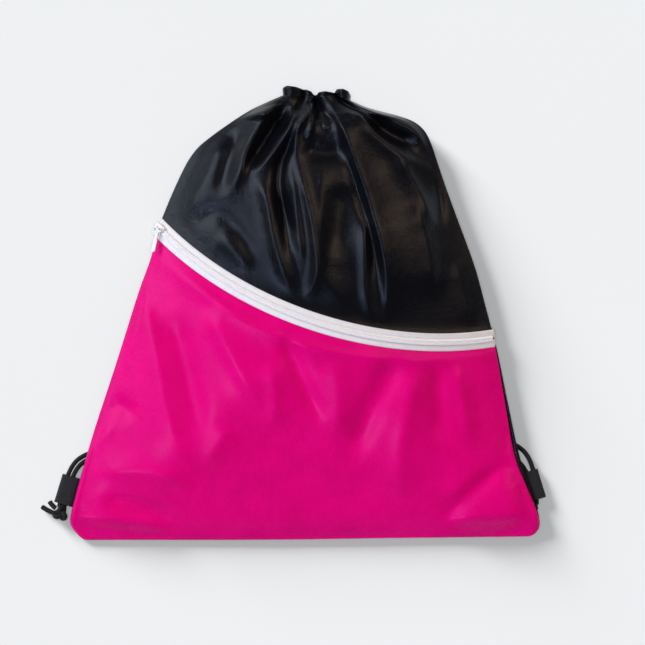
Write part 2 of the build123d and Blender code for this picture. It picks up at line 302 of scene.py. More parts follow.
# The gathered neck in the X-Z plane, left to right: big soft pleats in front, flatter ones behind.
NECK_FRONT = [(-13.0, 12.5), (-12.4, 16.5), (-8.0, 19.5), (-2.0, 19.0), (2.4, 17.0), (1.2, 15.2),
              (3.2, 14.8), (3.0, 18.5), (4.8, 22.5), (8.2, 22.5), (10.6, 19.0), (10.8, 15.4),
              (12.4, 14.6), (12.8, 18.0), (14.4, 22.0), (18.5, 23.5), (23.0, 22.0), (26.4, 18.5),
              (25.2, 15.6), (27.4, 15.4), (28.8, 19.5), (32.4, 21.5), (36.4, 18.5), (38.2, 13.0)]
NECK_BACK = [(-13.0, 12.5), (-11.5, 9.0), (-6.0, 6.6), (-1.0, 8.2), (3.0, 5.8), (8.0, 6.2), (11.5, 8.4),
             (15.0, 6.0), (20.0, 5.8), (24.0, 8.2), (28.0, 6.0), (33.0, 6.6), (36.8, 9.2), (38.2, 13.0)]
# Where the panels end and the channel starts, at each place across.
NECK_FOOT = [(-13, 165.8), (-6, 166.0), (3, 165.2), (8, 164.6), (10.5, 163.6), (12.5, 163.4),
             (15, 164.6), (23, 165.4), (30, 164.6), (38.2, 161.8)]
# How far up the cinched channel reaches at each place across.
NECK_TOP = [(-13, 171.6), (-10, 172.8), (-3, 171.9), (2, 170.2), (5, 169.4), (8.5, 168.2), (10.5, 165.6),
            (12.5, 165.4), (14, 167.6), (19, 168.3), (24, 167.6), (26, 167.2), (27.5, 170.2), (33, 170.2),
            (36.5, 168.8), (38.2, 166.0)]


def neck_curve(count, points):
    x, z = resample(points, count, rounds=2).T * MM
    return np.stack([x, read(NECK_FOOT, x), z], axis=1)


def ease(value):
    value = np.clip(value, 0, 1)
    return value * value * (3 - 2 * value)


def folds(grid, table):
    """The height of soft folds: each has a line in mm, a height and its widths left and right of it."""
    total = np.zeros(grid.shape[:2])
    places = grid[..., :2] / MM
    stops = 180
    for line, height, left, right in table:
        path = resample(line, stops, rounds=3)
        tangent = unit(np.gradient(path, axis=0))
        away = places[:, :, None] - path
        distance = np.linalg.norm(away, axis=-1)
        nearest = distance.argmin(axis=-1)
        offset = np.take_along_axis(away, nearest[..., None, None], axis=2)[:, :, 0]
        near = tangent[nearest]
        on_left = near[..., 0] * offset[..., 1] - near[..., 1] * offset[..., 0] > 0
        width = np.where(on_left, left, right)
        along = nearest / (stops - 1)
        power = 1.35 if height > 0 else 2.0
        shape = np.exp(-(distance.min(axis=-1) / width) ** power)
        total += height * shape * ease(along / 0.25 + 0.1) * ease((1 - along) / 0.35 + 0.05)
    return smooth_rows(total, 3) * MM


# Folds of the upper panel, from the neck outwards: line, height, width to its left, width to its right.
UPPER_FOLDS = [
    ([(-8, 160), (-18, 145), (-29, 126), (-40, 107)], -11, 5.5, 6.5),
    ([(-13, 162), (-26, 148), (-39, 124), (-46, 102), (-59, 83)], 4.5, 3.5, 9),
    ([(-2, 158), (-9, 136), (-21, 119), (-38, 103)], 5, 4, 3.5),
    ([(-45, 140), (-53, 118), (-62, 88)], -3.5, 7, 5),
    ([(-58, 136), (-66, 112), (-80, 82), (-90, 68)], 3.4, 17, 9),
    ([(1, 145), (-9, 127), (-15, 112), (-16.5, 94), (-10, 72), (-5, 54)], -6, 4, 4.5),
    ([(-38, 103), (-30, 98), (-24, 85), (-21, 62), (-14, 36), (-7, 19), (1, 12)], 5, 7, 5),
    ([(1, 12), (9.5, 20), (13.5, 36), (11, 58), (6.5, 83), (-2, 112), (-3.5, 127)], 5.5, 4, 5),
    ([(-9, 112), (-4, 94), (-2, 71), (1, 50), (2, 28)], 3.2, 3.5, 3.5),
    ([(-13, 92), (-12, 68), (-6, 40)], -3, 4, 3.5),
    ([(12.4, 164), (9.5, 154), (-1.5, 141), (-4, 127), (-1, 116)], 6, 2.8, 4),
    ([(16, 114), (17, 80), (14.5, 52), (16, 28), (25.5, 18), (40, -4)], 3.5, 10, 8),
    ([(32, 98), (30, 70), (27, 40)], -4, 13, 11),
    ([(2, 126), (16, 121), (28, 122), (38, 127)], -4.5, 8, 7),
    ([(11, 152), (8, 140), (6.6, 129)], 3.5, 2.5, 2.5),
    ([(15.3, 154), (18, 145), (21, 137)], 3, 2.2, 2.2),
    ([(22.6, 160), (30, 144), (38.5, 123), (47, 94), (54.5, 71), (61.5, 48), (66, 15), (62, -9)], 8, 15, 3),
    ([(36, 118), (42, 100), (49, 80), (57.5, 42), (57, 22)], -4.5, 3.5, 4),
    ([(50, 80), (48.5, 51), (48.5, 22), (51, 7), (61, -9)], 3.5, 4, 4),
    ([(37, 159), (48.5, 145), (64.5, 128), (78, 119), (94, 112), (104, 107)], 5.5, 3.5, 9),
    ([(53, 145), (67, 136), (80, 131), (90, 131)], -7, 5, 4.5),
    ([(50, 152), (70, 146), (90, 136), (98, 120)], 3, 5, 5),
    ([(72, 122), (89, 94), (103, 66)], 4.5, 5, 11),
    ([(106, 104), (107, 84), (104, 64)], -2.5, 4, 5),
    ([(86, 86), (97, 52), (101, 8)], 6.0, 10, 27),
    ([(-62, 60), (-45, 44), (-36, 30)], 2.5, 9, 7),
    ([(-80, 66), (-66, 78), (-56, 74), (-38, 52), (-30, 30)], -2.5, 6, 6),
    ([(118, 40), (124, 10), (132, -10)], 2.0, 6, 8),
]


def upper_panel():
    columns, rows = 190, 90
    bottom = zip_points(np.linspace(-0.012, ZIP_SWEEP + 0.006, columns), TAPE_EDGE - 0.9 * MM, -0.8 * MM)
    top = neck_curve(columns, NECK_FRONT)
    left = side_curve(LEFT_SIDE, bottom[0, 1], top[0, 1], rows)
    right = side_curve(RIGHT_SIDE, bottom[-1, 1], top[-1, 1], rows)
    left[0], left[-1], right[0], right[-1] = bottom[0], top[0], bottom[-1], top[-1]
    spread = top.copy()
    spread[:, 0] = np.linspace(top[0, 0], top[-1, 0], columns)
    start = coons(bottom, spread, left, right)
    s, t = np.linspace(0, 1, columns)[None, :], np.linspace(0, 1, rows)[:, None]
    start[..., 0] += (top[:, 0] - spread[:, 0])[None] * ease((t - 0.55) / 0.45)
    dome = front_height(start)
    inside = ease(s / 0.16) * ease((1 - s) / 0.16) * ease(t / 0.12)
    height = smooth_rows(start[..., 2] * (1 - inside) + dome * inside, 14)
    gathered = ease((t - 0.72) / 0.28)
    calm = np.interp(s[0], [0, 0.5, 1], [12.5, 18.5, 12.5]) * MM
    pleats = (top[:, 2] - calm)[None] * ease((t - 0.6) / 0.4)
    height = height * (1 - gathered) + calm[None] * gathered + pleats
    mask = ease(s / 0.05) * ease((1 - s) / 0.05) * ease(t / 0.05) * ease((1 - t) / 0.10)
    start[..., 2] = height + folds(start, UPPER_FOLDS) * mask
    start[-1] = top
    return settled("front_upper_cloth", start, 1.004)


# How far under the front the mound stays, and its least height, at each place along Y.
MOUND_DROP = [(-190, 3), (-150, 5), (-60, 7), (40, 10), (120, 16), (160, 24)]
MOUND_LEAST = [(-166, 2.0), (-154, 8.8), (-104, 8.8), (-80, 2.0)]


def inner_body():
    """What fills the bag: a soft mound that the cloth settles on, left out of the model."""
    x, y = np.meshgrid(np.linspace(-0.2, 0.2, 90), np.linspace(-0.19, 0.175, 80))
    points = np.stack([x, y, np.zeros_like(x)], axis=-1)
    height = smooth_rows(soft_front(points), 10)
    points[..., 2] = np.maximum(height - read(MOUND_DROP, y), read(MOUND_LEAST, y))
    body = grid_object("mound", points)
    body.hide_render = True
    return body


POCKET_RELIEF = 1.3
POCKET_FOLDS = [
    ([(-112, 50), (-72, 15), (-31, -11), (14, -27), (70, -35), (136, -35)], 2.4, 3.5, 7),
    ([(-124, 30), (-116, 2), (-108, -28), (-99, -77), (-80, -130)], 2.9, 6, 22),
    ([(-96, 0), (-84, -45), (-74, -100)], -3.0, 9, 9),
    ([(-70, 8), (-64, -8), (-55, -25), (-43, -47), (-27, -74)], 3.4, 17, 7.5),
    ([(-52, -84), (-62, -100), (-72, -118)], 2.2, 7, 9),
    ([(-14, -12), (-2, -42), (10, -68), (18, -86)], -3.0, 7, 6),
    ([(-22, -34), (-18, -60), (-20, -90)], 2.2, 7, 8),
    ([(26, -34), (30, -60), (26, -96)], 2.2, 9, 9),
    ([(76, -30), (58, -62), (44, -92), (36, -118)], -3.2, 9, 10),
    ([(90, -34), (82, -70), (74, -110), (76, -150)], 3.2, 11, 10),
    ([(104, -34), (103, -66), (108, -100)], -1.8, 6, 6),
    ([(118, -36), (122, -66), (130, -100)], 2.2, 7, 7),
    ([(-153, -120), (-129, -118), (-105, -121), (-80, -131)], 3.0, 9, 7),
    ([(-150, -138), (-118, -147), (-88, -157)], -3.2, 6, 7),
    ([(-168, -156), (-134, -156), (-90, -164)], 2.6, 6, 4),
    ([(-145, -65), (-133, -70), (-123, -79)], -2.2, 5, 5),
    ([(-158, -104), (-149, -92), (-140, -83)], 1.8, 3.5, 4),
    ([(106, -157), (128, -134), (163, -106)], -3.4, 5, 8),
    ([(110, -156), (142, -153), (177, -151)], 3.2, 24, 8),
    ([(164, -106), (172, -128), (179, -150)], 2.6, 4, 16),
]


def pocket_panel():
    columns, rows = 150, 100
    top = zip_points(np.linspace(-0.012, ZIP_SWEEP + 0.012, columns), -TAPE_EDGE + 0.9 * MM, -0.8 * MM)
    low_left, low_right = np.array(LEFT_SIDE[0]) * MM, np.array(RIGHT_SIDE[0]) * MM
    s = np.linspace(0, 1, columns)
    bottom = low_left + (low_right - low_left) * s[:, None]
    bottom[:, 1] -= 1.6 * MM * np.sin(math.pi * s) ** 2 * (1 - s)
    bottom = np.c_[bottom, np.full(columns, 2.4 * MM)]
    left = side_curve(LEFT_SIDE, bottom[0, 1], top[0, 1], rows)
    right = side_curve(RIGHT_SIDE, bottom[-1, 1], top[-1, 1], rows)
    left[0], left[-1], right[0], right[-1] = bottom[0], top[0], bottom[-1], top[-1]
    start = coons(bottom, top, left, right)
    dome = soft_front(start)
    t = np.linspace(0, 1, rows)[:, None]
    s = s[None, :]
    inside = (np.clip(s / 0.04, 0, 1) * np.clip((1 - s) / 0.04, 0, 1)
              * np.clip(t / 0.04, 0, 1) * np.clip((1 - t) / 0.04, 0, 1))
    start[..., 2] = start[..., 2] * (1 - inside) + dome * inside
    start[..., 2] = smooth_rows(start[..., 2], 12)
    mask = ease(s / 0.04) * ease((1 - s) / 0.04) * ease(t / 0.03) * ease((1 - t) / 0.03)
    start[..., 2] += folds(start, POCKET_FOLDS) * POCKET_RELIEF * mask
    return settled("pocket_cloth", start, 1.003)


# The back panel at each place along Y: how far it shows past the front's right side, its height at
# the rim, and its height over the cords.
BACK_PEEK = [(-153, 0.3), (-118, 3.4), (-100, 3.4), (-60, 1.8), (-25, 0.8), (15, 0)]
BACK_RIM = [(-165, 0.8), (-153, 7.6), (-108, 7.6), (-78, 0.8)]
BACK_LIFT = [(-171, 0.8), (-155, 7.4), (140, 6.6), (152, 5.0)]


def back_cloth():
    """The back panel, on the floor along its rim and lifted over the cords."""
    columns, rows = 90, 90
    top = neck_curve(columns, NECK_BACK)
    left = side_curve(LEFT_SIDE, -171.5 * MM, top[0, 1], rows)
    right = side_curve(RIGHT_SIDE, -168.5 * MM, top[-1, 1], rows)
    right[:, 0] += read(BACK_PEEK, right[:, 1])
    left[:, 2] -= 0.6 * MM
    right[:, 2] -= 0.6 * MM
    s = np.linspace(0, 1, columns)
    bottom = left[0] + (right[0] - left[0]) * s[:, None]
    bottom[:, 2] = 0.8 * MM
    left[-1], right[-1] = top[0], top[-1]
    grid = coons(bottom, top, left, right)
    y = grid[..., 1]
    rim, lift = read(BACK_RIM, y), read(BACK_LIFT, y)
    edge = np.minimum(s, 1 - s)[None, :]
    under = np.interp(edge, [0.05, 0.12], [0, 1]) * (lift - rim) + rim
    side = np.clip(edge / 0.035, 0, 1) ** 0.5
    ends = np.clip((top[:, 1][None] - y) / (12 * MM), 0, 1)
    target = grid[..., 2] * (1 - side) + under * side
    grid[..., 2] = grid[..., 2] * (1 - ends) + target * ends
    grid[..., 2] = smooth_rows(grid[..., 2], 3)
    obj = grid_object("back_cloth", grid)
    modifier(obj, "SUBSURF", levels=1, render_levels=1)
    modifier(obj, "SOLIDIFY", thickness=CLOTH_THICK, offset=1.0)
    return baked(obj)


def lining_cloth():
    """The pocket's inside wall."""
    columns, rows = 60, 50
    top = zip_points(np.linspace(0.03, ZIP_SWEEP - 0.03, columns), -4 * MM, -6.5 * MM)
    left = side_curve(LEFT_SIDE, -155 * MM, top[0, 1], rows) + np.array([9, 0, 0]) * MM
    right = side_curve(RIGHT_SIDE, -155 * MM, top[-1, 1], rows) - np.array([9, 0, 0]) * MM
    left[:, 2] -= 1.5 * MM
    right[:, 2] -= 1.5 * MM
    s = np.linspace(0, 1, columns)[:, None]
    bottom = left[0] + (right[0] - left[0]) * s
    left[-1], right[-1] = top[0], top[-1]
    grid = coons(bottom, top, left, right)
    t = np.linspace(0, 1, rows)[:, None]
    depth = np.sin(math.pi * np.clip(s[:, 0][None], 0, 1)) ** 0.5 * np.clip(t * 3, 0, 1)
    under = soft_front(grid) - 8.0 * MM
    grid[..., 2] = np.maximum(grid[..., 2] * (1 - depth) + under * depth, 9.6 * MM)
    obj = grid_object("pocket_lining_cloth", grid)
    modifier(obj, "SOLIDIFY", thickness=0.4 * MM, offset=0.0)
    return baked(obj)


# The channel cut across: how far up towards its top, and how far in from the pleats in mm.
HEM_PROFILE = [(-0.12, 0.5), (0.0, 0.0), (0.3, 0.0), (0.6, -0.25), (0.85, -0.3), (0.95, -0.1), (1.0, 0.5),
               (0.95, 1.1), (0.8, 1.3), (0.4, 1.3), (-0.1, 1.2)]


def neck_ruffle():
    """The cinched hem channel: the panels' own pleats, turned over at the top and open at both sides."""
    front, back = neck_curve(190, NECK_FRONT), neck_curve(110, NECK_BACK)[::-1]
    ring = np.concatenate([front, back[1:-1]])
    steps = np.roll(ring, -1, axis=0) - np.roll(ring, 1, axis=0)
    inward = unit(np.stack([steps[:, 2], np.zeros(len(ring)), -steps[:, 0]], axis=1))
    reach = read(NECK_TOP, ring[:, 0]) - ring[:, 1]
    reach[len(front):] -= 1.2 * MM
    rows = []
    for level, inset in HEM_PROFILE:
        row = ring + inward * inset * MM
        row[:, 1] += reach * level
        rows.append(row)
    obj = grid_object("hem_channel_cloth", np.array(rows), closed=True)
    modifier(obj, "SUBSURF", levels=1, render_levels=1)
    return baked(obj)


# ---- zip ------------------------------------------------------------------------------
COIL_PITCH = 1.15 * MM


def tape(name, side):
    """One side's tape: a thin strip from the coil to the cloth's edge."""
    profile = [(0.6, -0.65), (0.6, -0.15), (1.6, 0.0), (3.6, -0.05), (5.4, 0.05), (6.65, 0.0),
               (6.75, -0.25), (6.65, -0.5), (4.0, -0.55)]
    angles = np.linspace(-0.018, ZIP_SWEEP + 0.008, 220)
    grid = np.stack([zip_points(angles, side * u * MM, v * MM) for u, v in profile], axis=1)
    return capped(grid_object(name, grid, closed=True))


def coil(name, side):
    """One side's coil: a row of bent monofilament turns that reach into the other side's."""
    pitch = COIL_PITCH / np.linalg.norm(ZIP_START - ZIP_CENTRE)
    shape = [(2.0, 0.15), (1.95, 0.75), (1.6, 1.2), (1.0, 1.32), (0.3, 1.2), (-0.35, 0.85), (-0.3, 0.45),
             (0.3, 0.3)]
    path = resample([(u * side, v) for u, v in shape], 12, rounds=1) * MM
    thick = 0.43 * MM
    sides = 6
    around = np.linspace(0, 2 * math.pi, sides, endpoint=False)
    lean = np.linspace(0, 0.42, len(path)) * pitch
    vertices, faces = [], []
    centres = np.arange(0.0, ZIP_SWEEP - pitch, pitch) + (0.5 * pitch if side > 0 else 0)
    tangents = unit(np.gradient(path, axis=0))
    for centre in centres:
        start = len(vertices)
        for k, (u, v) in enumerate(path):
            ring_u = u - thick * np.cos(around) * tangents[k, 1]
            ring_v = v + thick * np.cos(around) * tangents[k, 0]
            ring_a = centre + lean[k] + thick * np.sin(around) * pitch / COIL_PITCH
            vertices += list(zip_points(ring_a, ring_u, ring_v))
        for f in grid_faces(len(path), sides, closed=True):
            faces.append([start + i for i in f])
        faces.append([start + i for i in range(sides)][::-1])
        faces.append([start + (len(path) - 1) * sides + i for i in range(sides)])
    start, stops, sides = len(vertices), 240, 10
    filler = np.linspace(0.0, ZIP_SWEEP - pitch, stops)
    for turn in np.linspace(0, 2 * math.pi, sides, endpoint=False):
        vertices += list(zip_points(filler, (1.25 * side + 0.95 * math.cos(turn)) * MM,
                                    (0.72 + 0.52 * math.sin(turn)) * MM))
    for k in range(sides):
        this, after = start + k * stops, start + (k + 1) % sides * stops
        faces += [(this + i, this + i + 1, after + i + 1, after + i) for i in range(stops - 1)]
    return mesh_object(name, vertices, faces)


def stitch_row(name, points, normals, length, width, gap):
    """Thread laid in short raised stitches along a line."""
    steps = np.r_[0, np.cumsum(np.linalg.norm(np.diff(points, axis=0), axis=1))]
    vertices, faces = [], []
    stops, sides = 5, 6
    ring = np.linspace(0, 2 * math.pi, sides, endpoint=False)
    for start in np.arange(0, steps[-1] - length, length + gap):
        at = start + np.linspace(0.06, 0.94, stops) * length
        line = np.stack([np.interp(at, steps, points[:, k]) for k in range(3)], axis=1)
        up = unit(np.stack([np.interp(at, steps, normals[:, k]) for k in range(3)], axis=1))
        side = unit(np.cross(up, unit(np.gradient(line, axis=0))))
        bulge = np.array([0.15, 0.85, 1.0, 0.85, 0.15]) * width / 2
        first = len(vertices)
        for k in range(stops):
            lifted = line[k] + up[k] * (bulge[k] * 0.5 - width * 0.12)
            vertices += [lifted + bulge[k] * (math.cos(a) * side[k] + 0.8 * math.sin(a) * up[k])
                         for a in ring]
        last = first + (stops - 1) * sides
        faces += [[first + i for i in f] for f in grid_faces(stops, sides, closed=True)]
        faces += [[first + i for i in range(sides)][::-1], [last + i for i in range(sides)]]
    return mesh_object(name, vertices, faces)


def local_object(name, build, bevel):
    """A hard piece made in the zip's own frame at its closed end, then placed there."""
    origin, u, v, along = (a[0] for a in zip_frames(0.0))
    bm = bmesh.new()
    build(bm)
    for vertex in bm.verts:
        x, y, z = vertex.co
        vertex.co = Vector(origin + u * x + v * y + along * z)
    bmesh.ops.recalc_face_normals(bm, faces=bm.faces)
    mesh = bpy.data.meshes.new(name)
    bm.to_mesh(mesh)
    bm.free()
    obj = link(bpy.data.objects.new(name, mesh))
    modifier(obj, "BEVEL", width=bevel, segments=3, limit_method="ANGLE", angle_limit=math.radians(40))
    baked(obj)
    obj.data.polygons.foreach_set("use_smooth", [True] * len(obj.data.polygons))
    return obj


def outline_plate(bm, outline, low, high):
    """A plate from an outline in the across-along plane, between two heights."""
    below = [bm.verts.new((x * MM, low * MM, z * MM)) for x, z in outline]
    above = [bm.verts.new((x * MM, high * MM, z * MM)) for x, z in outline]
    bm.faces.new(below)
    bm.faces.new(above[::-1])
    for k in range(len(outline)):
        n = (k + 1) % len(outline)
        bm.faces.new((below[k], below[n], above[n], above[k]))


def slider_shape(bm):
    """Two plates on a post, side flanges on the upper plate, and the bridge that holds the pull."""
    top = [(-2.3, -4.2), (2.3, -4.2), (3.0, -2.4), (3.4, 1.6), (3.4, 4.1), (1.0, 4.25), (-1.0, 4.25),
           (-3.4, 4.1), (-3.4, 1.6), (-3.0, -2.4)]
    outline_plate(bm, top, 1.9, 2.9)
    outline_plate(bm, top, -2.45, -1.45)
    outline_plate(bm, [(-0.3, 1.5), (0.3, 1.5), (0.3, -1.5), (-0.3, -1.5)], -1.6, 2.1)
    for side in (1, -1):
        flange = [(side * 3.4, -2.4), (side * 3.4, 4.1), (side * 2.8, 4.1), (side * 2.8, -2.4)]
        outline_plate(bm, flange if side > 0 else flange[::-1], 0.55, 2.2)
    arch = [(2.7, -2.3), (4.4, -2.2), (5.0, -1.5), (5.0, 1.5), (4.4, 2.2), (2.7, 2.3), (2.7, 1.5),
            (3.95, 1.5), (4.1, 1.2), (4.1, -1.2), (3.95, -1.5), (2.7, -1.5)]
    left = [bm.verts.new((-0.4 * MM, y * MM, z * MM)) for y, z in arch]
    right = [bm.verts.new((0.4 * MM, y * MM, z * MM)) for y, z in arch]
    for k in range(len(arch)):
        n = (k + 1) % len(arch)
        bm.faces.new((left[k], left[n], right[n], right[k]))
    bm.faces.new(left[::-1])
    bm.faces.new(right)


# The pull's swing to the left of the zip, its rise off the cloth, and its hinge's height in mm.
PULL_LEAN, PULL_RISE, PULL_HINGE = math.radians(55), math.radians(4), 3.5


def pull_shape(bm):
    """A ring that hangs on the slider's bridge, and a flat tab."""
    border = [(-3.3, -0.3), (3.3, -0.3), (3.3, 2.6), (1.6, 3.9), (-1.6, 3.9), (-3.3, 2.6)]
    hole = [(-2.7, 0.3), (2.7, 0.3), (2.7, 2.4), (1.3, 3.3), (-1.3, 3.3), (-2.7, 2.4)]
    rings = []
    for points, face in ((border, 1), (hole, 1), (hole, -1), (border, -1)):
        rings.append([bm.verts.new((x * MM, face * 0.3 * MM, z * MM)) for x, z in points])
    for a, b in zip(rings, rings[1:] + rings[:1]):
        for k in range(len(border)):
            n = (k + 1) % len(border)
            bm.faces.new((a[k], a[n], b[n], b[k]))
    stem = [(-1.1, 3.7), (1.1, 3.7), (1.2, 8.5), (1.6, 10), (1.6, 17.6), (1.1, 18.7), (0, 19.0), (-1.1, 18.7),
            (-1.6, 17.6), (-1.6, 10), (-1.2, 8.5)]
    outline_plate(bm, stem, -0.45, 0.45)
    turn = Matrix.Rotation(-PULL_LEAN, 3, "Y") @ Matrix.Rotation(-PULL_RISE, 3, "X")
    for vertex in bm.verts:
        vertex.co = turn @ vertex.co + Vector((0, PULL_HINGE * MM, 0))


# ---- cords ---------------------------------------------------------------------------------
# Each strand's route in mm: out of the channel, down under the bag in slack turns, and out through
# its webbing loop to the knot.
LEFT_INNER = [
    (-3, 169, 5.8), (-4, 160, 3.0), (-8, 148, 2), (-28, 128, 2), (-54, 106, 2), (-62, 76, 2), (-40, 58, 2),
    (-8, 46, 2), (-1, 18, 2), (-34, 0, 2), (-70, 0, 2), (-86, -22, 2), (-72, -48, 2), (-36, -54, 2),
    (-14, -74, 2), (-24, -104, 2), (-56, -122, 2), (-92, -118, 2), (-122, -108, 2), (-146, -106, 2),
    (-163, -110.5, 2), (-171, -118, 3.1), (-176, -134, 3.2), (-179.5, -147, 3.8),
]
LEFT_OUTER = [
    (-9, 169.5, 5.8), (-10.5, 160.5, 3.0), (-17, 149, 2), (-38, 131, 2), (-63, 110, 2), (-73, 72, 2),
    (-50, 49, 2), (-24, 40, 2), (-13, 28, 2), (-18, 13, 2), (-44, 8, 2), (-76, 10, 2), (-97, -22, 2),
    (-82, -57, 2), (-46, -64, 2), (-26, -78, 2), (-34, -98, 2), (-60, -112, 2), (-92, -107, 2),
    (-120, -99, 2), (-147, -102.2, 2), (-164.6, -106.6, 2), (-173.9, -115, 3.1), (-179.6, -132, 3.2),
    (-183, -146.5, 3.8),
]
RIGHT_INNER = [
    (28, 168, 5.8), (29, 159, 3.0), (32, 147, 2), (48, 127, 2), (70, 108, 2), (80, 78, 2), (56, 58, 2),
    (24, 50, 2), (12, 24, 2), (36, 2, 2), (74, 4, 2), (98, -14, 2), (92, -44, 2), (56, -52, 2), (24, -62, 2),
    (20, -92, 2), (48, -116, 2), (88, -112, 2), (120, -104, 2), (146, -102, 2), (161, -107.5, 2),
    (170.5, -116, 3.1), (175.5, -130, 3.2), (175.5, -144, 3.6),
]
RIGHT_OUTER = [
    (34, 168, 5.8), (36, 159, 3.0), (42, 148, 2), (59, 131, 2), (81, 110, 2), (91, 74, 2), (64, 48, 2),
    (36, 43, 2), (25, 33, 2), (30, 17, 2), (52, 11, 2), (78, 15, 2), (109, -10, 2), (102, -54, 2),
    (62, -63, 2), (36, -71, 2), (33, -88, 2), (54, -105, 2), (90, -101, 2), (122, -93, 2), (150, -94, 2),
    (166.5, -100, 2), (174.8, -109.5, 3.0), (179.6, -128, 3.2), (179.6, -144.5, 3.6),
]
# The cord ends past each knot.
ENDS = {
    "left": [[(-186.5, -151.0, 4.6), (-191.5, -149.5, 3.4), (-196.5, -146.0, 2.4)],
             [(-185.5, -147.2, 5.4), (-188.4, -145.2, 5.0), (-190.4, -142.0, 4.2)]],
    "right": [[(170.5, -151.5, 3.4), (165.0, -153.0, 2.6), (160.0, -150.5, 2.0)],
              [(170.5, -146.5, 3.4), (165.0, -144.0, 2.6), (161.0, -139.5, 2.0)]],
}


def route_curve(name, points, radius):
    """An open NURBS curve with the route's points as its control points."""
    data = bpy.data.curves.new(name, "CURVE")
    data.dimensions = "3D"
    spline = data.splines.new("NURBS")
    spline.points.add(len(points) - 1)
    for control, (x, y, z) in zip(spline.points, points):
        control.co = (x * MM, y * MM, z * MM, 1)
    spline.order_u = 3
    spline.use_endpoint_u = True
    spline.resolution_u = 8
    data.bevel_depth = radius
    data.bevel_resolution = 5
    data.use_fill_caps = True
    return link(bpy.data.objects.new(name, data))


def line_of(points):
    """Points along a route's own spline."""
    probe = route_curve("probe", points, 0.0)
    depsgraph = bpy.context.evaluated_depsgraph_get()
    mesh = bpy.data.meshes.new_from_object(probe.evaluated_get(depsgraph))
    line = np.array([v.co[:] for v in mesh.vertices])
    bpy.data.objects.remove(probe)
    return line


def braided_tube(line, radius, tip=True, sides=28):
    """Vertices and faces of a cord with the small bumps of its braid."""
    count = int(np.linalg.norm(np.diff(line, axis=0), axis=1).sum() / (0.22 * MM)) + 2
    line = resample(line, count, rounds=0)
    steps = np.linspace(0, 1, count)
    length = np.linalg.norm(np.diff(line, axis=0), axis=1).sum()
    along = unit(np.gradient(line, axis=0))
    side = unit(np.cross(along, np.array([0.02, 0.03, 1.0])))
    up = np.cross(side, along)
    angle = np.linspace(0, 2 * math.pi, sides, endpoint=False)[None, :]
    travel = (steps * length / (5.0 * MM))[:, None] * 2 * math.pi
    braid = np.abs(np.sin(4 * angle + travel)) + np.abs(np.sin(4 * angle - travel))
    size = radius * (0.95 + 0.05 * braid)
    if tip:
        size = size * np.interp(steps, [0, 0.9, 0.97, 1.0], [1, 1.02, 0.95, 0.35])[:, None]
    grid = (line[:, None] + size[..., None] * (np.cos(angle)[..., None] * side[:, None]
                                               + np.sin(angle)[..., None] * up[:, None]))
    faces = [list(f) for f in grid_faces(count, sides, closed=True)]
    faces += [list(range(sides))[::-1], [(count - 1) * sides + i for i in range(sides)]]
    return grid.reshape(-1, 3), faces


def joined(name, parts):
    vertices, faces = [], []
    for points, polygons in parts:
        faces += [[len(vertices) + i for i in f] for f in polygons]
        vertices += list(points)
    return mesh_object(name, vertices, faces)


# Each drawcord's place along Y inside the channel, in mm.
CHANNEL_PLACES = {"left": 164.5, "right": 160.3}


def channel_run(at_y):
    """One drawcord's run inside the cinched channel."""
    points = [(-7, 11.7), (2, 12.2), (12, 11.4), (24, 12.2), (33, 11.7)]
    return line_of([(x, at_y - 0.02 * x, z) for x, z in points])


def knot_mesh(name, centre, heading, flatness):
    """An overhand knot drawn tight, in two strands side by side."""
    turn = np.linspace(0, 2 * math.pi, 240)
    parts = []
    for offset in (-0.42, 0.42):
        x = 1.3 * (np.sin(turn) + 1.55 * np.sin(2 * turn))
        y = 1.3 * (np.cos(turn) - 1.55 * np.cos(2 * turn))
        z = -np.sin(3 * turn) * 1.15 + offset
        line = np.stack([x * (1.25 + 0.12 * offset), y * (1.4 + 0.12 * offset), z * 1.5], axis=1) * MM
        line[:, 2] *= flatness
        c, s = math.cos(heading), math.sin(heading)
        line = line @ np.array([[c, s, 0], [-s, c, 0], [0, 0, 1]]) + np.array(centre) * MM
        parts.append(braided_tube(line, 1.9 * MM, tip=False, sides=20))
    return joined(name, parts)


def webbing(name, centre, heading):
    """Folded twill webbing, its fold outwards, the cords inside it."""
    reach, tunnel, thick, width = 9.0, 4.2, 1.2, 22.0
    high = tunnel / 2 + thick / 2
    path = [(-reach, 0.75), (-reach + 2.6, 0.75), (-reach + 5.5, high), (reach - 3.2, high),
            (reach - 0.9, high * 0.8), (reach - 0.4, 0), (reach - 0.9, -high * 0.8), (reach - 3.2, -high),
            (-reach + 5.5, -high), (-reach + 2.6, -high + 0.7), (-reach, -high + 0.7)]
    line = resample(path, 130, rounds=2)
    places = np.linspace(-width / 2, width / 2, 111)
    tangent = unit(np.gradient(line, axis=0))
    normal = np.stack([-tangent[:, 1], tangent[:, 0]], axis=1)
    steps = np.arange(len(line))[:, None]
    rib = 0.10 * np.cos(2 * math.pi * places / 1.5)[None] + 0.05 * np.cos(
        2 * math.pi * (places[None] / 0.75 + steps / 3.2))
    rows = []
    for sign in (1, -1):
        off = sign * (thick / 2 + rib * 0.8)
        rows.append(np.stack([line[:, 0:1] + normal[:, 0:1] * off,
                              np.broadcast_to(places, rib.shape),
                              line[:, 1:2] + normal[:, 1:2] * off], axis=-1))
    ring = np.concatenate([rows[0], rows[1][:, ::-1]], axis=1)
    c, s = math.cos(heading), math.sin(heading)
    turned = ring @ np.array([[c, s, 0], [-s, c, 0], [0, 0, 1]])
    turned += np.array([centre[0], centre[1], high + thick / 2])
    return capped(grid_object(name, turned * MM, closed=True))


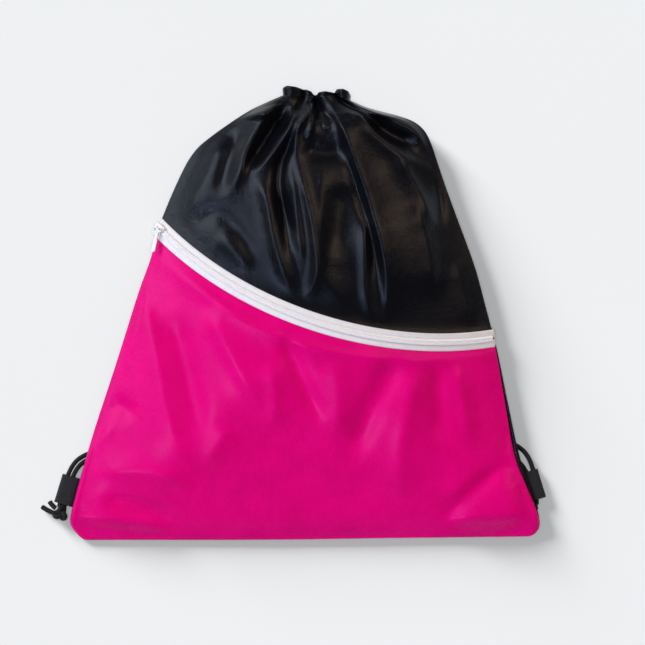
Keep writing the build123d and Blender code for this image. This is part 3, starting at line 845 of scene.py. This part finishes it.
# ---- materials ----------------------------------------------------------------------------------
class Shader:
    """A node material, with short calls for the nodes that the materials share."""

    def __init__(self, name, **settings):
        self.material = bpy.data.materials.new(name)
        self.material.use_nodes = True
        self.nodes = self.material.node_tree.nodes
        self.links = self.material.node_tree.links
        self.shader = self.nodes["Principled BSDF"]
        for key, value in settings.items():
            self.shader.inputs[key.replace("_", " ")].default_value = value
        self.place = self.nodes.new("ShaderNodeTexCoord").outputs["Object"]

    def node(self, kind, inputs=(), **settings):
        made = self.nodes.new(kind)
        for key, value in settings.items():
            setattr(made, key, value)
        for key, value in dict(inputs).items():
            if isinstance(value, bpy.types.NodeSocket):
                self.links.new(value, made.inputs[key])
            else:
                made.inputs[key].default_value = value
        return made

    def noise(self, scale, detail=3, roughness=0.5):
        return self.node("ShaderNodeTexNoise", {"Vector": self.place, "Scale": scale, "Detail": detail,
                                                "Roughness": roughness}).outputs["Fac"]

    def ramp(self, value, stops):
        made = self.node("ShaderNodeValToRGB", {"Fac": value})
        while len(made.color_ramp.elements) < len(stops):
            made.color_ramp.elements.new(0.5)
        for element, (position, colour) in zip(made.color_ramp.elements, stops):
            element.position = position
            element.color = (*colour, 1)
        return made.outputs["Color"]

    def math(self, operation, a, b):
        return self.node("ShaderNodeMath", {0: a, 1: b}, operation=operation).outputs[0]

    def span(self, value, low, high):
        return self.node("ShaderNodeMapRange", {"Value": value, "To Min": low, "To Max": high}).outputs[0]

    def stripes(self, direction, period, distortion=0.0):
        """A sine of that period along a direction of the object's own space."""
        wave = self.node("ShaderNodeTexWave", {"Vector": self.place, "Scale": math.pi / 10 / period,
                                               "Distortion": distortion, "Detail": 1.0})
        wave.bands_direction = direction
        return wave.outputs["Fac"]

    def link(self, output, socket):
        self.links.new(output, self.shader.inputs[socket])

    def bump(self, height, strength, distance, normal=None):
        inputs = {"Height": height, "Strength": strength, "Distance": distance}
        if normal is not None:
            inputs["Normal"] = normal
        return self.node("ShaderNodeBump", inputs).outputs["Normal"]


def woven_cloth(name, dark, light, rough, sparkle, shine, tint):
    """Thin coated polyester: plain weave, uneven coating, small creases."""
    m = Shader(name, Roughness=rough, Sheen_Weight=0.01, Sheen_Roughness=0.35, Coat_Weight=0.05,
               Coat_Roughness=0.25, Specular_IOR_Level=shine)
    m.shader.inputs["Specular Tint"].default_value = (*tint, 1)
    tone = m.noise(38, 4, 0.6)
    m.link(m.ramp(tone, [(0.3, dark), (0.72, light)]), "Base Color")
    grain = m.noise(850, 2, 0.7)
    blotch = m.noise(160, 4, 0.65)
    rough_value = m.math("ADD", m.span(grain, rough - sparkle, rough + sparkle), m.span(blotch, -0.05, 0.05))
    m.link(rough_value, "Roughness")
    m.link(m.span(m.noise(850, 2, 0.8), 0.25 * shine, 1.75 * shine), "Specular IOR Level")
    weave = m.math("MULTIPLY", m.stripes("X", 0.55 * MM, 0.4), m.stripes("Y", 0.55 * MM, 0.4))
    normal = m.bump(weave, 0.25, 0.00008)
    normal = m.bump(grain, 0.4, 0.0008, normal)
    normal = m.bump(blotch, 0.16, 0.0012, normal)
    normal = m.bump(m.noise(45, 3, 0.55), 0.20, 0.004, normal)
    m.link(normal, "Normal")
    return m.material


def thread_material(name, dark, light, rough, scale, bump=0.4):
    """Spun or braided fibre: fine streaks along a noise field."""
    m = Shader(name, Roughness=rough, Sheen_Weight=0.04, Sheen_Roughness=0.5, Specular_IOR_Level=0.25)
    tone = m.noise(scale, 3, 0.6)
    m.link(m.ramp(tone, [(0.3, dark), (0.75, light)]), "Base Color")
    m.link(m.span(m.noise(scale * 1.7, 2), rough - 0.08, rough + 0.12), "Roughness")
    m.link(m.bump(tone, bump, 0.0002), "Normal")
    return m.material


def tape_material():
    m = Shader("zip_tape_weave", Roughness=0.72, Sheen_Weight=0.2, Sheen_Roughness=0.5)
    tone = m.noise(220, 3, 0.6)
    m.link(m.ramp(tone, [(0.25, (0.77, 0.775, 0.81)), (0.75, (0.85, 0.85, 0.88))]), "Base Color")
    ribs = m.stripes("DIAGONAL", 0.9 * MM, 0.6)
    m.link(m.bump(m.noise(1400, 2), 0.2, 0.00015, m.bump(ribs, 0.25, 0.00012)), "Normal")
    m.link(m.span(tone, 0.62, 0.82), "Roughness")
    return m.material


def plastic_material():
    m = Shader("zip_coil_nylon", Roughness=0.4, Subsurface_Weight=0.08, Specular_IOR_Level=0.25)
    m.shader.inputs["Subsurface Radius"].default_value = (0.001, 0.001, 0.001)
    m.link(m.ramp(m.noise(500, 2), [(0.2, (0.90, 0.90, 0.92)), (0.8, (0.94, 0.94, 0.95))]), "Base Color")
    m.link(m.span(m.noise(900, 2), 0.24, 0.4), "Roughness")
    return m.material


def enamel_material():
    m = Shader("slider_enamel", Roughness=0.28, Coat_Weight=0.5, Coat_Roughness=0.12)
    wear = m.noise(420, 4, 0.65)
    m.link(m.ramp(wear, [(0.2, (0.58, 0.58, 0.61)), (0.34, (0.70, 0.70, 0.73)),
                         (0.9, (0.74, 0.74, 0.77))]), "Base Color")
    m.link(m.span(wear, 0.22, 0.38), "Roughness")
    m.link(m.bump(m.noise(300, 2), 0.08, 0.0002), "Normal")
    return m.material


def floor_material():
    m = Shader("paper_floor", Roughness=0.75, Specular_IOR_Level=0.2)
    m.link(m.ramp(m.noise(3, 2), [(0.2, (0.695, 0.705, 0.715)), (0.8, (0.705, 0.715, 0.725))]), "Base Color")
    m.shader.inputs["Emission Color"].default_value = (0.9, 0.95, 1.0, 1)
    m.shader.inputs["Emission Strength"].default_value = 0.05
    return m.material


def paint(obj, material):
    obj.data.materials.clear()
    obj.data.materials.append(material)
    return obj


# ---- the model --------------------------------------------------------------------------------------
black = woven_cloth("black_polyester", dark=(0.0026, 0.0028, 0.0045), light=(0.0036, 0.0037, 0.0055),
                    rough=0.22, sparkle=0.09, shine=0.18, tint=(0.74, 0.84, 1.05))
pink = woven_cloth("pink_polyester", dark=(0.71, 0.0004, 0.172), light=(0.82, 0.0006, 0.205),
                   rough=0.27, sparkle=0.08, shine=0.2, tint=(0.72, 0.13, 1.0))
cord_black = thread_material("braided_cord", (0.005, 0.0048, 0.0052), (0.014, 0.0135, 0.0145), 0.62, 900)
web_black = thread_material("webbing_twill", (0.005, 0.0055, 0.0075), (0.022, 0.023, 0.028), 0.6, 1300, 0.5)
white_thread = thread_material("white_thread", (0.72, 0.72, 0.75), (0.85, 0.85, 0.87), 0.55, 1500)
black_thread = thread_material("black_thread", (0.012, 0.012, 0.015), (0.04, 0.04, 0.045), 0.55, 1500)
tape_white, nylon, enamel = tape_material(), plastic_material(), enamel_material()


def place(obj, body, material, slot, *nodes):
    paint(obj, material)
    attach(obj, body)
    if nodes:
        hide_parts(*nodes)
    return obj


upper = place(upper_panel(), "bag", black, "bag_cloth", "front_upper_panel")
pocket = place(pocket_panel(), "bag", pink, "pocket_cloth", "pocket_panel")
back = place(back_cloth(), "bag", black, "bag_cloth", "back_panel")
lining = place(lining_cloth(), "bag", black, "bag_cloth", "pocket_lining")
hem = place(neck_ruffle(), "bag", black, "bag_cloth", "hem_channel_front", "hem_channel_back",
            "channel_mouth_left", "channel_mouth_right")

for side, name in ((1, "upper"), (-1, "lower")):
    place(tape(f"zip_tape_{name}", side), "bag", tape_white, "zip_tape", f"zipper_tape_{name}")
    place(coil(f"zip_coil_{name}", side), "bag", nylon, "zip_coil", f"zipper_coil_{name}")

angles = np.linspace(-0.008, ZIP_SWEEP, 400)
_, _, zip_up, _ = zip_frames(angles)
stitches = stitch_row("zip_topstitch", zip_points(angles, 5.9 * MM, 0.12 * MM), zip_up,
                      length=2.4 * MM, width=0.45 * MM, gap=0.5 * MM)
place(stitches, "bag", white_thread, "thread")
slider = local_object("zip_slider_body", slider_shape, bevel=0.22 * MM)
place(slider, "slider", enamel, "zip_slider", "zipper_slider")
pull = local_object("zip_pull", pull_shape, bevel=0.18 * MM)
place(pull, "pull", enamel, "zip_slider", "zipper_pull_tab")

# Each bottom corner: its loop's place in mm and heading, its knot's place and flatness, its routes.
CORNERS = {
    "left": ((-174.9, -134.3), math.radians(163), (-181.8, -151.2, 4.9), 0.8, (LEFT_INNER, LEFT_OUTER)),
    "right": ((174.9, -130.6), math.radians(17), (175.6, -149.2, 3.8), 0.6, (RIGHT_INNER, RIGHT_OUTER)),
}
for side, (loop_at, heading, knot_at, flatness, routes) in CORNERS.items():
    place(webbing(f"webbing_{side}", loop_at, heading), "bag", web_black, "webbing",
          f"webbing_loop_{side}")
    knot = knot_mesh(f"knot_cord_{side}", knot_at, heading, flatness)
    place(knot, "bag", cord_black, "drawcord", f"knot_{side}")
    tails = joined(f"cord_tails_{side}", [braided_tube(line_of(p), CORD / 2) for p in ENDS[side]])
    place(tails, "bag", cord_black, "drawcord", f"cord_ends_{side}")
    for name, route in zip(("inner", "outer"), routes):
        strand = route_curve(f"strand_{side}_{name}", route, CORD / 2)
        place(strand, "bag", cord_black, "drawcord", f"drawcord_{side}_{name}_strand")
    run = braided_tube(channel_run(CHANNEL_PLACES[side]), CORD / 2, tip=False)
    place(joined(f"channel_cord_{side}", [run]), "bag", cord_black, "drawcord",
          f"drawcord_{side}_in_channel")
    paint(frame["nodes"][f"loop_stitching_{side}"], black_thread)

# ---- floor, light and camera ------------------------------------------------------------------------
floor = mesh_object("floor", [(-3, -3, 0), (3, -3, 0), (3, 3, 0), (-3, 3, 0)], [(0, 1, 2, 3)], smooth=False)
paint(floor, floor_material())
floor.location.z = -0.0002


def lamp(name, location, receivers, power, colour, size=None):
    """A rectangular lamp in watts, or without a size a soft sun in W/m2, aimed at the bag's middle."""
    data = bpy.data.lights.new(name, "AREA" if size else "SUN")
    if size:
        data.shape, data.size, data.size_y = "RECTANGLE", *size
    else:
        data.angle = math.radians(22)
    data.energy, data.color = power, colour
    obj = link(bpy.data.objects.new(name, data))
    obj.location = location
    obj.rotation_euler = (-Vector(location)).to_track_quat("-Z", "Y").to_euler()
    obj.light_linking.receiver_collection = receivers
    return obj


# Soft lamps for the bag, and two for the floor: one from above and a low one for the long soft
# shadow to the lower right.
on_bag, on_floor = bpy.data.collections.new("lit_bag"), bpy.data.collections.new("lit_floor")
for obj in bpy.context.scene.objects:
    (on_floor if obj is floor else on_bag).objects.link(obj)
lamp("key_upper_left", (-5.0, 3.2, 4.4), on_bag, 420, (0.94, 0.97, 1.0), (5.0, 5.0))
lamp("blue_left", (-2.5, -1.4, 4.4), on_bag, 74, (0.66, 0.74, 1.0), (1.15, 1.15))
lamp("warm_upper_right", (2.6, 2.4, 3.4), on_bag, 84, (1.0, 0.66, 0.42), (2.6, 2.6))
lamp("cool_front", (-0.6, -4.6, 2.4), on_bag, 62, (0.9, 0.95, 1.0), (4.0, 2.0)).visible_glossy = False
lamp("floor_above", (0, 0, 4), on_floor, 1.28, (1, 1, 1))
lamp("floor_low", (-1, 1, 0.46), on_floor, 6.4, (1, 1, 1))

world = bpy.data.worlds.new("studio")
world.use_nodes = True
world.node_tree.nodes["Background"].inputs["Color"].default_value = (0.93, 0.96, 1.0, 1)
world.node_tree.nodes["Background"].inputs["Strength"].default_value = 0.13
bpy.context.scene.world = world
bpy.context.scene.view_settings.view_transform = "Standard"

# The camera looks straight down; FRAME_WIDTH is what it sees at the height of the bag's outline.
CAMERA_HEIGHT = 2.5
OUTLINE_HEIGHT = 0.012
FRAME_WIDTH = 0.4883
SENSOR_WIDTH = 36
camera = bpy.data.cameras.new("camera")
camera.lens = SENSOR_WIDTH * (CAMERA_HEIGHT - OUTLINE_HEIGHT) / FRAME_WIDTH
camera_object = link(bpy.data.objects.new("camera", camera))
camera_object.location = (0.0170, -0.0062, CAMERA_HEIGHT)
bpy.context.scene.camera = camera_object

bpy.context.view_layer.update()
